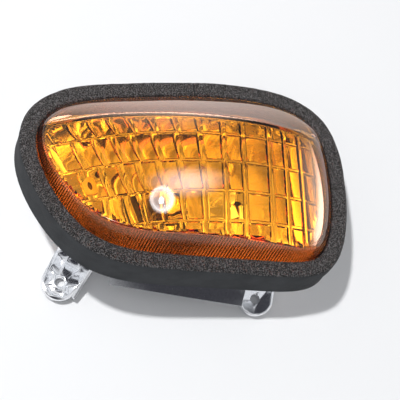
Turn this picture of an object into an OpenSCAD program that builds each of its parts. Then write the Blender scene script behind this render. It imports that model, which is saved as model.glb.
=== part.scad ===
// Motorcycle turn signal, flush fairing type, right front.
// Millimetres. +Z is the axis of the two fixing holes and points out through the lens,
// +X runs from the ear's hole to the tab's hole, and the origin lies midway between
// the two holes on the plane that their bosses bear on.

/* [Lamp outline] */
// Overall width over the foam seal
lamp_w = 195; // [170:1:220]
// Overall height over the foam seal
lamp_h = 128; // [112:1:145]
// Lean of the lens axis towards the upper edge, in degrees
lean_up = 12; // [8:0.5:14]
// Lean of the lens axis towards the right edge, in degrees
lean_side = 8; // [4:0.5:9]
// Height of the housing flange above the fixing plane, at the middle of the lamp
flange_z = 43; // [42:1:55]

/* [Lens] */
// Wall of the moulded lens
lens_wall = 2.5; // [2:0.1:3.2]
// Height of the crown of the lens above the flange
lens_crown = 45; // [38:1:52]
// Radius of the lens face along the lamp
lens_radius_x = 208; // [180:1:320]
// Radius of the lens face across the lamp
lens_radius_y = 450; // [300:5:800]
// How far the sloping upper wall runs in from the skirt
upper_slope = 18; // [10:1:24]
// Width of one optic on the inside of the lens
optic_w = 12; // [9:0.5:18]
// Height of one optic
optic_h = 17; // [12:0.5:24]
// How far an optic stands proud of the inner face
optic_rise = 1.4; // [0.8:0.1:2.2]

/* [Foam seal] */
// Width of the foam strip, seen from the front
foam_band = 10; // [8:0.5:13]
// Depth of the foam strip, front to back
foam_depth = 22; // [16:1:26]
// Gap at the butt joint in the upper run
foam_slit = 0.5; // [0.4:0.1:1]

/* [Housing] */
// Wall of the moulded housing
shell = 2.2; // [1.8:0.1:3]
// Depth of the reflector pan below the flange
pan_depth = 18.8; // [15:0.2:19.5]
// Spacing of the two fixing holes
hole_spacing = 118; // [108:1:128]
// Diameter of a fixing hole
hole_d = 6; // [5:0.1:6.6]
// Radius of the ribbed ear's round end
ear_r = 11; // [9:0.5:13]
// Radius of the half-round tab
tab_r = 10.5; // [9:0.5:12]
// Height of the ear's outer wall above the fixing plane
ear_h = 9; // [7:0.5:12]

/* [Bulb and holder] */
// Where the bulb's axis stands, along X
bulb_x = -10.5; // [-16:0.5:-4]
// Where the bulb's axis stands, along Y
bulb_y = 35; // [30:0.5:40]
// Diameter of the bulb's glass
glass_d = 25; // [18:0.5:26]
// Diameter of the bulb's bayonet base
base_d = 15; // [14.5:0.1:15.2]
// Outer radius of the holder's body
holder_r = 14.7; // [13.8:0.1:15.2]
// Thickness of the holder's rubber seal
seal_t = 2; // [1.5:0.1:2.4]

/* [Hidden] */
$fn = 48;
eps = 0.02;
// Clearance between pieces that fit round each other
fit = 0.3;

// Middle of the lamp on the flange plane. The lower edge stays where it is when the lamp grows.
lamp_x = 3;
lamp_y = lamp_h / 2 * cos(lean_up) - 8.6;

// Control points of the outline, as shares of the half width and half height
outline_net = [[1.02, 0.03], [0.97, 0.78], [0.59, 1.05], [0.01, 0.95], [-0.36, 0.82], [-0.90, 0.63],
               [-1.07, 0.00], [-0.74, -0.83], [-0.41, -1.04], [0.01, -1.00], [0.49, -0.96],
               [0.89, -0.92], [1.00, -0.42]];
net_n = len(outline_net);
// Steps of the curve between two control points
net_steps = 4;
seg_n = net_n * net_steps;

// Levels in the lamp's own frame, from the flange plane
ledge_t = 2;
lip_top = 5;
inner_lip_top = 3;
groove_floor = -4;
channel_bottom = -6;
sealant_t = 2;
lens_foot = groove_floor + sealant_t;

// Insets from the foam's outline
in_ledge = 2.5;
in_lens = foam_band;
in_groove = in_lens - fit;
in_lip = in_groove - 2.3;
in_rebate = in_lip - fit;
in_lens_back = in_lens + lens_wall;
in_inner_lip = in_lens_back + fit;
in_pan = in_inner_lip + 2;

// Vertical stack of the holder and the bulb, above the fixing plane
neck_z = 14;
ring_t = 3;
ring_r = holder_r + fit;
neck_bore_r = ring_r + 2.4;
neck_r = neck_bore_r + 3;
seal_z = neck_z - fit - seal_t;
flange_t = 2.2;
flange_r = neck_r + 0.4;
holder_back = 1;
floor_top = 13;
sleeve_r = base_d / 2 + 0.25;
sleeve_t = 0.9;
sleeve_h = 20;
socket_r = sleeve_r + sleeve_t + fit;
carrier_z = 17;
carrier_t = 1.8;
button_top = carrier_z + carrier_t + 0.8;
tip_top = button_top + 1.3;
base_z = button_top + 0.8;
base_h = 18;
base_top = base_z + base_h;
base_wall = 0.6;
base_r = base_d / 2;
pin_z = base_z + base_h * 0.48;
glass_r = glass_d / 2;
// Overall length of the bulb, and its light centre, from the contact
bulb_length = 52.5;
light_centre = 31.8;
glass_top = button_top + bulb_length;
filament_z = button_top + light_centre;
// How deep the glass and the stem stand in the base
glass_sunk = 8;
throat_r = base_r - base_wall - fit;
glass_wall = 0.8;
holder_top = 31;
lug_t = 3;

// Smooth closed curve through the net
function knot(a, b, c, d, u) =
    (pow(1 - u, 3) * a + (3 * pow(u, 3) - 6 * u * u + 4) * b
     + (-3 * pow(u, 3) + 3 * u * u + 3 * u + 1) * c + pow(u, 3) * d) / 6;
function net(i) = outline_net[(i + net_n) % net_n];
raw = [for (i = [0 : net_n - 1], k = [0 : net_steps - 1])
       knot(net(i - 1), net(i), net(i + 1), net(i + 2), k / net_steps)];
raw_x = [for (p = raw) p[0]];
raw_y = [for (p = raw) p[1]];
outline = [for (p = raw) [(p[0] - (max(raw_x) + min(raw_x)) / 2) * lamp_w / (max(raw_x) - min(raw_x)),
                          (p[1] - (max(raw_y) + min(raw_y)) / 2) * lamp_h / (max(raw_y) - min(raw_y))]];
function unit(v) = v / norm(v);
normals = [for (i = [0 : seg_n - 1])
           let (v = outline[(i + 1) % seg_n] - outline[(i + seg_n - 1) % seg_n]) unit([v[1], -v[0]])];
function inset(d) = [for (i = [0 : seg_n - 1]) outline[i] - normals[i] * d];
function shrink(d, s) = [for (p = inset(d)) p * s];
function lift(ring, z) = [for (p = ring) [p[0], p[1], z]];

// Face of the lens: a shallow dome, lowered by t for the inner side
function face_z(p, t) = lens_crown - t - pow(p[0] + 2, 2) / 2 / lens_radius_x
                        - pow(p[1] + 20, 2) / 2 / lens_radius_y;
function smooth(a) = let (u = max(0, min(1, a))) u * u * (3 - 2 * u);
// Run of the wall from the skirt in to the ridge: steep below, 45 degrees above
steep = [for (n = normals) 2 + 4 * max(0, n[0]) + upper_slope * smooth(n[1] / 0.95)];
function near(i, k) = steep[(i + k + seg_n) % seg_n];
slope = [for (i = [0 : seg_n - 1]) (near(i, -2) + near(i, -1) + near(i, 0) + near(i, 1) + near(i, 2)) / 5];
function ridge(t) = [for (i = [0 : seg_n - 1])
                     outline[i] - normals[i] * (in_lens + slope[i] + t * 0.8)];

// Places the children in the lamp's own frame
module in_lamp() {
    translate([lamp_x, lamp_y, flange_z]) rotate([-lean_up, lean_side, 0]) children();
}

// Places the children on the bulb's axis
module on_bulb(z = 0) {
    translate([bulb_x, bulb_y, z]) children();
}

// Straight-walled slab of the outline, inset by d, from z0 up to z1
module slab(d, z0, z1) {
    translate([0, 0, z0]) linear_extrude(height = z1 - z0) polygon(inset(d));
}

// Solid skinned over a list of rings of equal length, closed by a flat or pointed end
module loft(rings) {
    n = len(rings[0]);
    m = len(rings);
    polyhedron(points = [for (r = rings, p = r) p], faces = concat(
        [[for (i = [0 : n - 1]) i]],
        [for (j = [0 : m - 2], i = [0 : n - 1]) [j * n + i, (j + 1) * n + i, (j + 1) * n + (i + 1) % n]],
        [for (j = [0 : m - 2], i = [0 : n - 1]) [j * n + i, (j + 1) * n + (i + 1) % n, j * n + (i + 1) % n]],
        [[for (i = [n - 1 : -1 : 0]) (m - 1) * n + i]]));
}

module tube(r_out, r_in, h) {
    difference() {
        cylinder(r = r_out, h = h);
        translate([0, 0, -1]) cylinder(r = r_in, h = h + 2);
    }
}

// Everything below the pan's channel, where arms and bosses may grow
module behind_lamp() {
    in_lamp() translate([0, 0, channel_bottom - 200 + 1.4]) cube([400, 400, 400], center = true);
}

// Outside of the reflector pan
module pan_outside() {
    loft([lift(shrink(in_inner_lip, 0.72), -pan_depth - shell),
          lift(shrink(in_inner_lip, 0.84), -pan_depth * 0.9 - shell),
          lift(shrink(in_inner_lip, 0.94), -pan_depth * 0.62 - shell),
          lift(inset(in_inner_lip), channel_bottom + eps)]);
}

// Hollow of the reflector pan, up through the inner lip
module pan_hollow() {
    loft([lift(shrink(in_pan, 0.70), -pan_depth),
          lift(shrink(in_pan, 0.83), -pan_depth * 0.88),
          lift(shrink(in_pan, 0.94), -pan_depth * 0.58),
          lift(inset(in_pan), channel_bottom + 1),
          lift(inset(in_pan), lip_top + 1)]);
}

// Ring between two insets
module hoop(d_out, d_in, z0, z1) {
    difference() {
        slab(d_out, z0, z1);
        slab(d_in, z0 - 1, z1 + 1);
    }
}

// Ear's own frame: the hole at the origin, +Y towards the leg
module in_ear() {
    translate([-hole_spacing / 2, 0, 0]) rotate([0, 0, -29]) children();
}
module in_tab() {
    translate([hole_spacing / 2, 0, 0]) rotate([0, 0, -3]) children();
}

// Plan of a fixing lug: a round end that widens to its leg
module lug_plan(r, grow, run, flare) {
    circle(r = r + grow);
    polygon([[-r - grow, 0], [r + grow, 0], [r + grow + flare, run + grow], [-r - grow - flare, run + grow]]);
}

// Channel-section leg that carries a lug up to the pan
module leg(half_w, y0, depth, z0) {
    translate([0, y0, z0]) linear_extrude(height = 70) difference() {
        translate([-half_w, 0]) square([half_w * 2, depth]);
        translate([-half_w + shell, shell]) square([half_w * 2 - shell * 2, depth]);
    }
}

ear_run = 15;
ear_floor = 3;
tab_run = 13;
rib_t = 1.5;
// Ribs of the ear, as angles from the run of the lug, and how long each one is
ear_ribs = [[-128, 8.2], [-62, 8.6], [-20, 13], [20, 13], [62, 8.6], [128, 8.2], [180, 8.2]];

module ear() {
    in_ear() {
        translate([0, 0, ear_floor]) linear_extrude(height = 2) lug_plan(ear_r, 0, ear_run, 1.5);
        translate([0, 0, ear_floor]) linear_extrude(height = ear_h - ear_floor) difference() {
            lug_plan(ear_r, 0, ear_run, 1.5);
            lug_plan(ear_r, -1.8, ear_run + 4, 1.5);
        }
        cylinder(r = 5, h = ear_h - 0.6);
        for (rib = ear_ribs) rotate([0, 0, rib[0]])
            translate([-rib_t / 2, 4, ear_floor]) cube([rib_t, rib[1] - 2, ear_h - ear_floor - 1]);
        // Fin along the inner side, which rises towards the leg
        translate([ear_r - 0.4, 0, 0]) rotate([90, 0, 90]) linear_extrude(height = 1.9)
            polygon([[-4, ear_floor], [ear_run + 3, ear_floor], [ear_run + 3, ear_h + 9], [-4, ear_h + 1]]);
    }
}

module tab() {
    in_tab() {
        translate([0, 0, ear_floor]) linear_extrude(height = 2.4) lug_plan(tab_r, 0, tab_run, 1);
        translate([0, 0, ear_floor]) linear_extrude(height = 4.4) difference() {
            lug_plan(tab_r, 0, tab_run, 1);
            lug_plan(tab_r, -1.3, tab_run + 4, 1);
        }
        cylinder(r = 6, h = ear_floor + 1);
    }
}

// Sloping lower wall of the body between the two legs, with a turned-out edge
apron_x = [-35, 45];
module apron() {
    translate([4, -4, 0]) rotate([0, 0, -4.6]) rotate([90, 0, 90])
        translate([0, 0, apron_x[0]]) linear_extrude(height = apron_x[1] - apron_x[0])
            polygon([[9, 64], [9.8, 23], [3.5, 16.7], [0.5, 15.3], [0.5, 13.3], [4.6, 14.8],
                     [11.9, 22.1], [11.5, 64]]);
}

// Peg on the upper edge, which drops into a grommet
peg_x = lamp_x + 12;
peg_y = lamp_y + (lamp_h / 2 - in_inner_lip) * cos(lean_up) - 2.2;
module peg() {
    translate([peg_x, peg_y, 0]) {
        translate([0, 0, 1.5]) cylinder(r = 4, h = 60);
        cylinder(r1 = 2.8, r2 = 4, h = 1.5 + eps);
        translate([0, 0, 13]) cylinder(r = 6.5, h = 60);
        for (a = [0, 90]) rotate([0, 0, a]) translate([-8.5, -0.9, 15]) cube([17, 1.8, 50]);
    }
}

// Moulded posts that stand on the floor of the pan, in the lamp's own frame
posts = [[-0.62, 0.04, 9], [-0.70, 0.56, 11], [0.56, 0.62, 8]];
function post_x(p) = p[0] * (lamp_w / 2 - in_pan);
function post_y(p) = p[1] * (lamp_h / 2 - in_pan);

// Breather spout under the pan, as shares of its half width and half height, and its cap
vent = [0.52 * (lamp_w / 2 - in_pan), 0.10 * (lamp_h / 2 - in_pan)];
vent_h = 7;
vent_r = 3.2;
cap_r = 5;
vent_z = -pan_depth - shell - vent_h;
module in_vent() {
    translate([vent[0], vent[1], vent_z]) children();
}

// Stiffening ribs under the pan, left and right of the neck, clear of the cap
rib_l = lamp_h * 0.47;
rib_x = [-0.6 * (lamp_w / 2 - in_pan), vent[0] - cap_r * 3.4, vent[0] + cap_r * 1.6];
module pan_ribs() {
    for (x = rib_x) translate([x, -rib_l / 2, -pan_depth - shell - 3]) cube([1.8, rib_l, 8]);
}

module housing() {
    color([0.86, 0.87, 0.89]) difference() {
        union() {
            in_lamp() {
                slab(in_ledge, -ledge_t, 0);
                slab(in_lip, channel_bottom, lip_top);
                pan_outside();
                in_vent() cylinder(r = vent_r, h = vent_h + 2);
            }
            ear();
            tab();
            intersection() {
                behind_lamp();
                union() {
                    in_ear() leg(ear_r + 0.5, ear_run - 1.6, 12, ear_floor);
                    in_tab() leg(tab_r + 1, tab_run - 1.6, 10, ear_floor);
                    apron();
                    peg();
                    on_bulb(neck_z) cylinder(r = neck_r, h = 40);
                    in_lamp() pan_ribs();
                }
            }
        }
        in_lamp() {
            hoop(in_groove, in_inner_lip, groove_floor, lip_top + 1);
            slab(in_inner_lip - 0.1, inner_lip_top, lip_top + 1);
            difference() {
                pan_hollow();
                for (p = posts) translate([post_x(p), post_y(p), -pan_depth - 1])
                    tube(5, 2.2, p[2] + 1);
            }
            in_vent() translate([0, 0, -1]) cylinder(r = 1.5, h = 14);
        }
        on_bulb(neck_z - 1) cylinder(r = ring_r, h = 60);
        on_bulb(neck_z + ring_t) cylinder(r = neck_bore_r, h = 50);
        // Three notches that let the holder's lugs through
        for (a = [45, 165, 285]) on_bulb(neck_z - 1) rotate([0, 0, a])
            translate([0, -5, 0]) cube([neck_bore_r - 0.2, 10, ring_t + 2]);
        for (s = [-1, 1]) translate([s * hole_spacing / 2, 0, -1]) cylinder(d = hole_d, h = 30);
    }
}

// One cushion of the lens optics, flat side up
module optic() {
    hull() {
        translate([0, 0, 0.5]) cube([optic_w + 0.4, optic_h + 0.4, 1], center = true);
        translate([0, 0, -optic_rise * 0.55]) cube([optic_w * 0.72, optic_h * 0.76, 0.1], center = true);
        translate([0, 0, -optic_rise + 0.05]) cube([optic_w * 0.36, optic_h * 0.42, 0.1], center = true);
    }
}

// Outer or inner skin of the lens, as a closed solid
module lens_form(t, foot) {
    r = ridge(t);
    base = inset(in_lens + t);
    loft([lift(base, foot), lift(base, foam_depth - t * 0.4),
          [for (i = [0 : seg_n - 1]) let (q = base[i] + (r[i] - base[i]) * 0.8)
           [q[0], q[1], foam_depth + (face_z(r[i], t) - foam_depth) * 0.82]],
          [for (i = [0 : seg_n - 1]) let (q = r[i] * 0.99)
           [q[0], q[1], face_z(r[i], t) - 0.8]],
          for (s = [0.95, 0.8, 0.64, 0.48, 0.3, 0.12])
              [for (i = [0 : seg_n - 1]) let (q = r[i] * s) [q[0], q[1], face_z(q, t)]]]);
}

// Rows of optics over the lamp, bowed like the ends of a barrel towards the left
optic_cols = ceil(lamp_w / optic_w / 2);
optic_rows = ceil(lamp_h / optic_h / 2);
module optics() {
    for (c = [-optic_cols : optic_cols], k = [-optic_rows : optic_rows])
        let (y = k * optic_h - 8, x = c * optic_w + pow(y + 8, 2) * 0.0016 * (c < 0 ? -c / 3 : 0))
            translate([x, y, face_z([x, y], lens_wall)])
                rotate([-atan((y + 20) / lens_radius_y), atan((x + 2) / lens_radius_x), 0]) optic();
}

module lens() {
    color([0.95, 0.55, 0.08, 0.75]) in_lamp() {
        difference() {
            lens_form(0, lens_foot);
            lens_form(lens_wall, lens_foot - 1);
        }
        // The optics grow out of the middle of the wall and end short of the side walls
        intersection() {
            optics();
            lens_form(lens_wall * 0.5, foam_depth - 4);
            translate([0, 0, foam_depth]) linear_extrude(height = lens_crown)
                polygon([for (i = [0 : seg_n - 1]) ridge(lens_wall)[i] - normals[i] * 2]);
        }
    }
}

module lens_sealant() {
    color([0.12, 0.12, 0.12]) in_lamp() hoop(in_groove, in_inner_lip, groove_floor, lens_foot);
}

module foam_seal() {
    color([0.16, 0.17, 0.18]) in_lamp() difference() {
        slab(0, 0, foam_depth);
        slab(in_lens - fit, lip_top, foam_depth + 1);
        slab(in_rebate, -1, lip_top + fit);
        translate([2, lamp_h / 2 - foam_band * 2, -1]) cube([foam_slit, foam_band * 3, foam_depth + 2]);
    }
}

module vent_cap() {
    color([0.1, 0.1, 0.1]) in_lamp() in_vent() translate([0, 0, -1.6]) difference() {
        union() {
            cylinder(r = cap_r, h = vent_h);
            translate([0, 0, vent_h - 1.5]) cylinder(r = cap_r + 0.6, h = 1.5);
        }
        translate([0, 0, 1.6]) cylinder(r = vent_r + fit, h = 10);
        for (a = [0 : 90 : 270]) rotate([0, 0, a]) translate([2.2, -0.6, -1]) cube([6, 1.2, 2.2]);
    }
}

shroud = [26, 13];
shroud_t = 1.6;
blade = [0.8, 6.3];
// The blades stand just inside the sleeve, so that the earth blade's tang bears on it
blade_x = sleeve_r - fit - 0.15 - blade[0] / 2;
// Foot, height and width of the tang that runs up through the holder's floor
tang = [8, 7, 3];
seal_r = [15.4, 19.6];

module holder_body() {
    color([0.2, 0.2, 0.21]) on_bulb() difference() {
        union() {
            translate([0, 0, seal_z - flange_t]) cylinder(r = flange_r, h = flange_t);
            translate([0, 0, seal_z - eps]) cylinder(r = holder_r, h = holder_top - seal_z);
            translate([0, 0, neck_z + ring_t + fit]) intersection() {
                cylinder(r = neck_bore_r - fit, h = lug_t);
                for (a = [0, 120, 240]) rotate([0, 0, a])
                    translate([0, -4.2, 0]) cube([neck_bore_r, 8.4, lug_t]);
            }
            translate([-shroud[0] / 2, -shroud[1] / 2, holder_back])
                cube([shroud[0], shroud[1], seal_z - flange_t - holder_back + eps]);
            // Finger wings for the quarter turn, and the latch rail of the connector
            for (s = [-1, 1]) translate([s * 16.6 - 3, -1.2, 4]) cube([6, 2.4, seal_z - flange_t - 4 + eps]);
            translate([-3, shroud[1] / 2 - eps, 2.5]) cube([6, 1.8, seal_z - flange_t - 2.5 + eps]);
        }
        translate([0, 0, floor_top]) cylinder(r = socket_r, h = 30);
        translate([-shroud[0] / 2 + shroud_t, -shroud[1] / 2 + shroud_t, holder_back - 1])
            cube([shroud[0] - shroud_t * 2, shroud[1] - shroud_t * 2, seal_z - flange_t - holder_back + 1]);
        for (s = [-1, 1]) translate([s * blade_x - blade[0] / 2 - 0.1, -tang[2] / 2 - 0.1, tang[0] - 3])
            cube([blade[0] + 0.2, tang[2] + 0.2, 20]);
    }
}

module holder_seal() {
    color([0.07, 0.07, 0.07]) on_bulb(seal_z) rotate_extrude() difference() {
        translate([seal_r[0], 0]) square([seal_r[1] - seal_r[0], seal_t]);
        translate([seal_r[0] + (seal_r[1] - seal_r[0]) / 2, seal_t + 0.55]) circle(r = 1);
    }
}

// One bayonet slot: down from the mouth, round by a twelfth of a turn, and up into the seat
module pin_slot() {
    translate([0, 0, pin_z - 1.8]) {
        linear_extrude(height = 2.7) for (a = [-30, -15, 0]) rotate(a) translate([5, -1.3]) square([6, 2.6]);
        rotate([0, 0, -30]) translate([5.5, -1.25, 0.5]) cube([6, 2.5, 30]);
        translate([5.5, -1.2, 0.5]) cube([6, 2.4, 2.6]);
    }
}
module socket_sleeve() {
    color([0.82, 0.8, 0.74]) on_bulb() difference() {
        translate([0, 0, floor_top]) tube(sleeve_r + sleeve_t, sleeve_r, sleeve_h);
        for (s = [0, 180]) rotate([0, 0, s]) pin_slot();
    }
}

module contact_carrier() {
    color([0.55, 0.42, 0.28]) on_bulb(carrier_z) difference() {
        cylinder(r = sleeve_r - fit, h = carrier_t);
        translate([0, 0, -1]) cylinder(r = 1.5, h = carrier_t + 2);
    }
}

module contact_button() {
    color([0.8, 0.65, 0.35]) on_bulb(floor_top + 0.5) {
        cylinder(r = 1.3, h = carrier_z + carrier_t - floor_top);
        translate([0, 0, carrier_z + carrier_t - floor_top - 0.5]) cylinder(r = 2.4, h = 0.8);
    }
}

coil_r = 2.9;
wire_r = 0.32;
coil_turns = 3.5;
coil_steps = 12;
coil_z = floor_top + 0.5 + wire_r;
coil_rise = carrier_z - coil_z - wire_r;
// Round section of the wire at one step of the coil
function coil_ring(k) = let (a = k * 360 / coil_steps, out = [cos(a), sin(a), 0]) [for (b = [0 : 60 : 300])
    out * (coil_r + wire_r * sin(b)) + [0, 0, coil_rise * k / (coil_turns * coil_steps) + wire_r * cos(b)]];
module contact_spring() {
    color([0.75, 0.75, 0.76]) on_bulb(coil_z) loft([for (k = [0 : coil_turns * coil_steps]) coil_ring(k)]);
}

module terminal_live() {
    color([0.83, 0.72, 0.45]) on_bulb() {
        translate([-blade_x - blade[0] / 2, -blade[1] / 2, 3])
            cube([blade[0], blade[1], seal_z - flange_t - 3]);
        translate([-blade_x - blade[0] / 2, -tang[2] / 2, tang[0]])
            cube([blade[0], tang[2], floor_top + 0.5 - tang[0]]);
        translate([-blade_x - blade[0] / 2, -tang[2] / 2, floor_top]) cube([blade_x, tang[2], 0.5]);
        translate([0, 0, floor_top]) cylinder(r = 3.5, h = 0.5);
    }
}

module terminal_earth() {
    color([0.83, 0.72, 0.45]) on_bulb() {
        translate([blade_x - blade[0] / 2, -blade[1] / 2, 3])
            cube([blade[0], blade[1], seal_z - flange_t - 3]);
        translate([blade_x - blade[0] / 2, -tang[2] / 2, tang[0]]) cube([blade[0], tang[2], tang[1]]);
    }
}

module bulb_base() {
    color([0.8, 0.68, 0.42]) on_bulb(base_z) difference() {
        rotate_extrude() polygon([
            [base_r * 0.72, 0], [base_r - 0.5, 0], [base_r, base_wall], [base_r, base_h - 1.4],
            [base_r + 0.2, base_h - 0.8], [base_r + 0.2, base_h], [base_r - base_wall, base_h],
            [base_r - base_wall, base_wall], [base_r * 0.72, base_wall]]);
        // The pins stand in bored holes
        translate([0, 0, pin_z - base_z]) rotate([0, 90, 0])
            cylinder(r = pin_r + 0.04, h = base_d + 2, center = true);
    }
}
pin_r = 1;

module base_pins() {
    color([0.78, 0.66, 0.4]) on_bulb(pin_z) for (s = [0, 180]) rotate([0, 0, s])
        translate([base_r - base_wall, 0, 0]) rotate([0, 90, 0]) cylinder(r = pin_r, h = base_wall + 1);
}

module base_insulator() {
    color([0.08, 0.07, 0.08]) on_bulb(base_z + base_wall) difference() {
        cylinder(r = base_r - base_wall - fit / 2, h = 3.2);
        translate([0, 0, 1.2]) cylinder(r = 1.6, h = 4);
    }
}

module base_contact() {
    color([0.7, 0.7, 0.7]) on_bulb(button_top) cylinder(r = 2, h = base_z + base_wall - button_top);
}

// Half section of the bulb: a ball on a throat that sits in the base, shrunk by t for the hollow
module bulb_form(t) {
    ball_z = glass_top - glass_r;
    throat = throat_r - t;
    neck = [(glass_r - t) * 0.86, ball_z - (glass_r - t) * 0.51];
    intersection() {
        union() {
            translate([0, ball_z]) circle(r = glass_r - t, $fn = 64);
            polygon([[0, base_top - glass_sunk - t], [throat, base_top - glass_sunk - t],
                     [throat, base_top + 1.5], [throat + 1.1, base_top + 4], neck, [0, ball_z]]);
        }
        square([100, 200]);
    }
}
module bulb_glass() {
    color([0.9, 0.93, 0.95, 0.4]) on_bulb() difference() {
        rotate_extrude($fn = 64) bulb_form(0);
        rotate_extrude($fn = 64) bulb_form(glass_wall);
    }
}

stem_top = filament_z - 9;
module glass_stem() {
    flare = throat_r - glass_wall - fit / 2;
    foot = base_top - glass_sunk + 1;
    color([0.85, 0.9, 0.92, 0.5]) on_bulb() rotate_extrude() polygon([
        [0, foot], [flare, foot], [flare, foot + 1], [3, foot + 4.5],
        [2.3, stem_top - 1], [1.7, stem_top], [0, stem_top]]);
}

filament_l = 7;
module support_wires() {
    foot = 1.1;
    reach = filament_l / 2 + 0.5 - foot;
    rise = filament_z - 0.3 - stem_top;
    color([0.6, 0.6, 0.62]) on_bulb(stem_top) for (s = [0, 180]) rotate([0, 0, s])
        translate([foot, 0, 0]) rotate([0, atan(reach / rise), 0]) cylinder(r = 0.3, h = norm([reach, rise]));
}

module filament() {
    color([0.5, 0.5, 0.52]) on_bulb(filament_z) {
        rotate([0, 90, 0]) cylinder(r = 0.35, h = filament_l + 1.6, center = true);
        for (i = [-5 : 5]) translate([i * filament_l / 12, 0, 0]) rotate([0, 90, 0])
            cylinder(r = 0.55, h = 0.3, center = true);
    }
}

housing();
lens();
lens_sealant();
foam_seal();
vent_cap();
holder_body();
holder_seal();
socket_sleeve();
contact_carrier();
contact_button();
contact_spring();
terminal_live();
terminal_earth();
bulb_base();
base_pins();
base_insulator();
base_contact();
bulb_glass();
glass_stem();
support_wires();
filament();
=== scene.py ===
"""Looks for the motorcycle turn signal: lens, foam, mirrored housing, bulb and holder."""

import math

import bmesh
import bpy
import numpy as np
from mathutils import Matrix, Vector, geometry, noise


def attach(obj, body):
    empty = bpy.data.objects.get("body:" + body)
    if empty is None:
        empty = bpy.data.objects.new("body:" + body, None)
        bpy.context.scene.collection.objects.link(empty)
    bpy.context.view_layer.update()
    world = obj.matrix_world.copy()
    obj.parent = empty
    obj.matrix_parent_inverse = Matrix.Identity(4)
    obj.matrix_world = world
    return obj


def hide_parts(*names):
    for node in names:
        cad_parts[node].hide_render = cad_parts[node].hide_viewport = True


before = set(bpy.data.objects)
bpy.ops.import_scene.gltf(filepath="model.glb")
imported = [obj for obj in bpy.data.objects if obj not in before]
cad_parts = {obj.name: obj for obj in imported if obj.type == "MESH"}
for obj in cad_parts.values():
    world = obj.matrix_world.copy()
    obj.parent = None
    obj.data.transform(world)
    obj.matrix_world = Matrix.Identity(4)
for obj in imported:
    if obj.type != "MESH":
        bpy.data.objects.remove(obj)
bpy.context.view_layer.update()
scene = bpy.context.scene
MM = 0.001

# Lamp's own frame: x right, y up, z out of the lens, origin on the flange plane
LAMP_W, LAMP_H = 195.0, 128.0
LEAN_UP, LEAN_SIDE = math.radians(12), math.radians(8)
LAMP_X, LOW_EDGE, FLANGE_Z = 3.0, -8.6, 43.0
LAMP_O = np.array([LAMP_X, LAMP_H / 2 * math.cos(LEAN_UP) + LOW_EDGE, FLANGE_Z])
UP_C, UP_S = math.cos(LEAN_UP), math.sin(LEAN_UP)
SIDE_C, SIDE_S = math.cos(LEAN_SIDE), math.sin(LEAN_SIDE)
TURN_UP = np.array([[1, 0, 0], [0, UP_C, UP_S], [0, -UP_S, UP_C]])
TURN_SIDE = np.array([[SIDE_C, 0, SIDE_S], [0, 1, 0], [-SIDE_S, 0, SIDE_C]])
LAMP_M = TURN_SIDE @ TURN_UP
BULB_AT = np.array([-10.5, 35.0])

# Control points of the foam's outline, as shares of the half width and half height
NET = np.array([[1.02, 0.03], [0.97, 0.78], [0.59, 1.05], [0.01, 0.95], [-0.36, 0.82], [-0.90, 0.63],
                [-1.07, 0.00], [-0.74, -0.83], [-0.41, -1.04], [0.01, -1.00], [0.49, -0.96],
                [0.89, -0.92], [1.00, -0.42]])


def curve(steps):
    """Closed outline of the foam as a cubic B-spline, and its outward normals, in mm."""
    out = []
    n = len(NET)
    for i in range(n):
        a, b, c, d = NET[i - 1], NET[i], NET[(i + 1) % n], NET[(i + 2) % n]
        for k in range(steps):
            u = k / steps
            out.append(((1 - u) ** 3 * a + (3 * u**3 - 6 * u * u + 4) * b
                        + (-3 * u**3 + 3 * u * u + 3 * u + 1) * c + u**3 * d) / 6)
    q = np.array(out)
    lo, hi = q.min(0), q.max(0)
    q = (q - (lo + hi) / 2) * np.array([LAMP_W, LAMP_H]) / (hi - lo)
    d = np.roll(q, -1, 0) - np.roll(q, 1, 0)
    d /= np.linalg.norm(d, axis=1)[:, None]
    return q, np.stack([d[:, 1], -d[:, 0]], 1)


def to_row(p):
    """Lamp frame in mm to row frame in metres."""
    return (np.asarray(p) @ LAMP_M.T + LAMP_O) * MM


def add_mesh(name, verts, faces, body, sharp, replaces, material):
    """A smooth mesh in row-frame metres, with sharp edges above an angle in degrees."""
    me = bpy.data.meshes.new(name)
    me.from_pydata([tuple(v) for v in verts], [], faces)
    me.validate()
    me.update()
    me.shade_smooth()
    me.set_sharp_from_angle(angle=math.radians(sharp))
    ob = bpy.data.objects.new(name, me)
    scene.collection.objects.link(ob)
    me.materials.append(material)
    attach(ob, body)
    if replaces:
        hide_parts(*replaces)
    return ob


# ---------------------------------------------------------------- materials
WHITE = (1.0, 1.0, 1.0, 1)
AMBER_IOR, COAT_IOR = 1.58, 1.9
AMBER_ABSORPTION, AMBER_DENSITY = (0.99, 0.78, 0.12, 1), 780.0
SLOPE_COAT, SLOPE_TINT = 0.65, (1.0, 0.6, 0.48, 1)
WALL_TINT, WALL_ROUGH = (0.9, 0.6, 0.45, 1), 0.2
SKIRT_TINT, SKIRT_ROUGH = (0.2, 0.05, 0.2, 1), 0.16
POLISHED = 0.015
FLUTES = 300
GLASS_IOR = 1.5
# Foam cells and finer pores, in cells per metre
CELLS, PORES = 1450, 1500


def new_mat(name):
    m = bpy.data.materials.new(name)
    m.use_nodes = True
    nt = m.node_tree
    return m, nt, nt.nodes["Principled BSDF"]


def math_node(nt, operation):
    n = nt.nodes.new("ShaderNodeMath")
    n.operation = operation
    return n


def noise_tex(nt, scale, detail=3.0, rough=0.5):
    tc = nt.nodes.new("ShaderNodeTexCoord")
    n = nt.nodes.new("ShaderNodeTexNoise")
    n.inputs["Scale"].default_value = scale
    n.inputs["Detail"].default_value = detail
    n.inputs["Roughness"].default_value = rough
    nt.links.new(tc.outputs["Object"], n.inputs["Vector"])
    return n


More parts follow.
